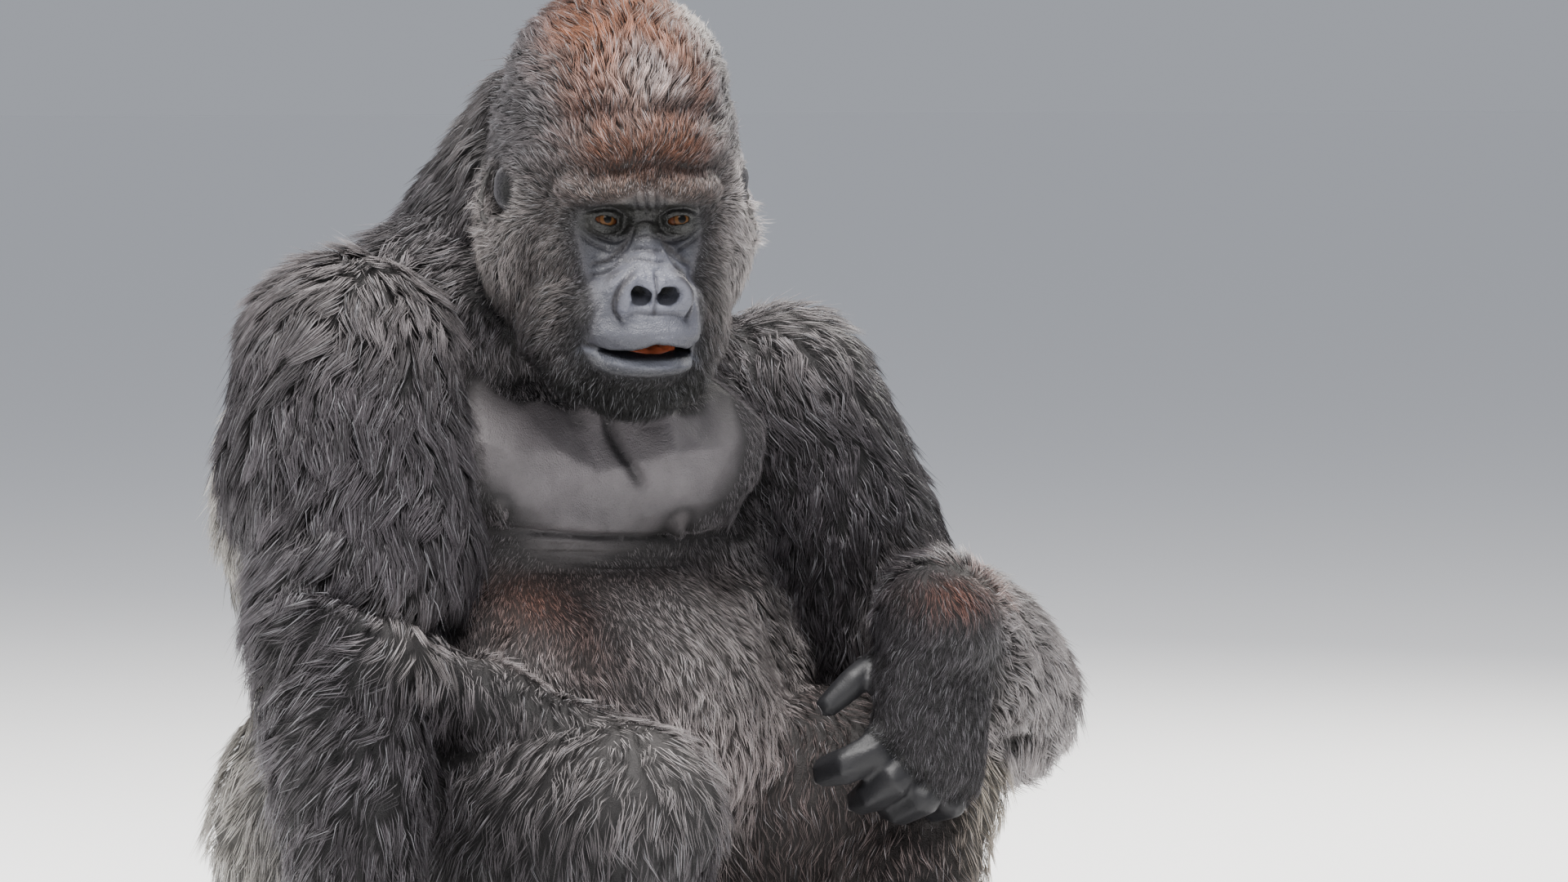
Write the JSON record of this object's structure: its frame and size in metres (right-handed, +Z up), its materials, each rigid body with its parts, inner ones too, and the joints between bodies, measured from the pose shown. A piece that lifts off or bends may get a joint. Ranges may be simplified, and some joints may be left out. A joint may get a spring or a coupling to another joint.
{
  "type": "gorilla",
  "caption": "Life-size still model of a seated silverback gorilla, one arm down beside it and the other forearm hung over a raised knee, for display on a floor",
  "frame": {"origin": "On the floor, at the middle of the bounding box's base.", "axes": "+Z up. The trunk faces -Y, the gorilla's left side is +X, and its head is turned a little towards its right."},
  "size_m": [0.9718, 0.821, 1.0111],
  "materials": {
    "fur": "dark blue-grey coat of coarse hair, light at the tips, reddish brown on the crown",
    "silver_fur": "coat of the belly, back and rump, grey-brown in front and silver behind",
    "bare_skin": "dark grey, creased, with a soft sheen",
    "eye": "wet, amber iris in a dark brown eyeball",
    "tongue": "moist, orange red"
  },
  "bodies": {
    "root": {"abdomen": "silver_fur", "big_toe_left": "bare_skin", "big_toe_right": "bare_skin", "chest": "bare_skin", "ear_left": "bare_skin", "ear_right": "bare_skin", "eye_left": "eye", "eye_right": "eye", "foot_left": "bare_skin", "foot_right": "bare_skin", "forearm_left": "fur", "forearm_right": "fur", "fourth_toe_left": "bare_skin", "fourth_toe_right": "bare_skin", "hand_left": "bare_skin", "hand_right": "bare_skin", "head": "fur", "index_finger_left": "bare_skin", "index_finger_right": "bare_skin", "jaw": "fur", "little_finger_left": "bare_skin", "little_finger_right": "bare_skin", "little_toe_left": "bare_skin", "little_toe_right": "bare_skin", "middle_finger_left": "bare_skin", "middle_finger_right": "bare_skin", "neck": "fur", "ring_finger_left": "bare_skin", "ring_finger_right": "bare_skin", "second_toe_left": "bare_skin", "second_toe_right": "bare_skin", "shin_left": "fur", "shin_right": "fur", "thigh_left": "fur", "thigh_right": "fur", "third_toe_left": "bare_skin", "third_toe_right": "bare_skin", "thumb_left": "bare_skin", "thumb_right": "bare_skin", "tongue": "tongue", "upper_arm_left": "fur", "upper_arm_right": "fur"}
  },
  "joints": []
}
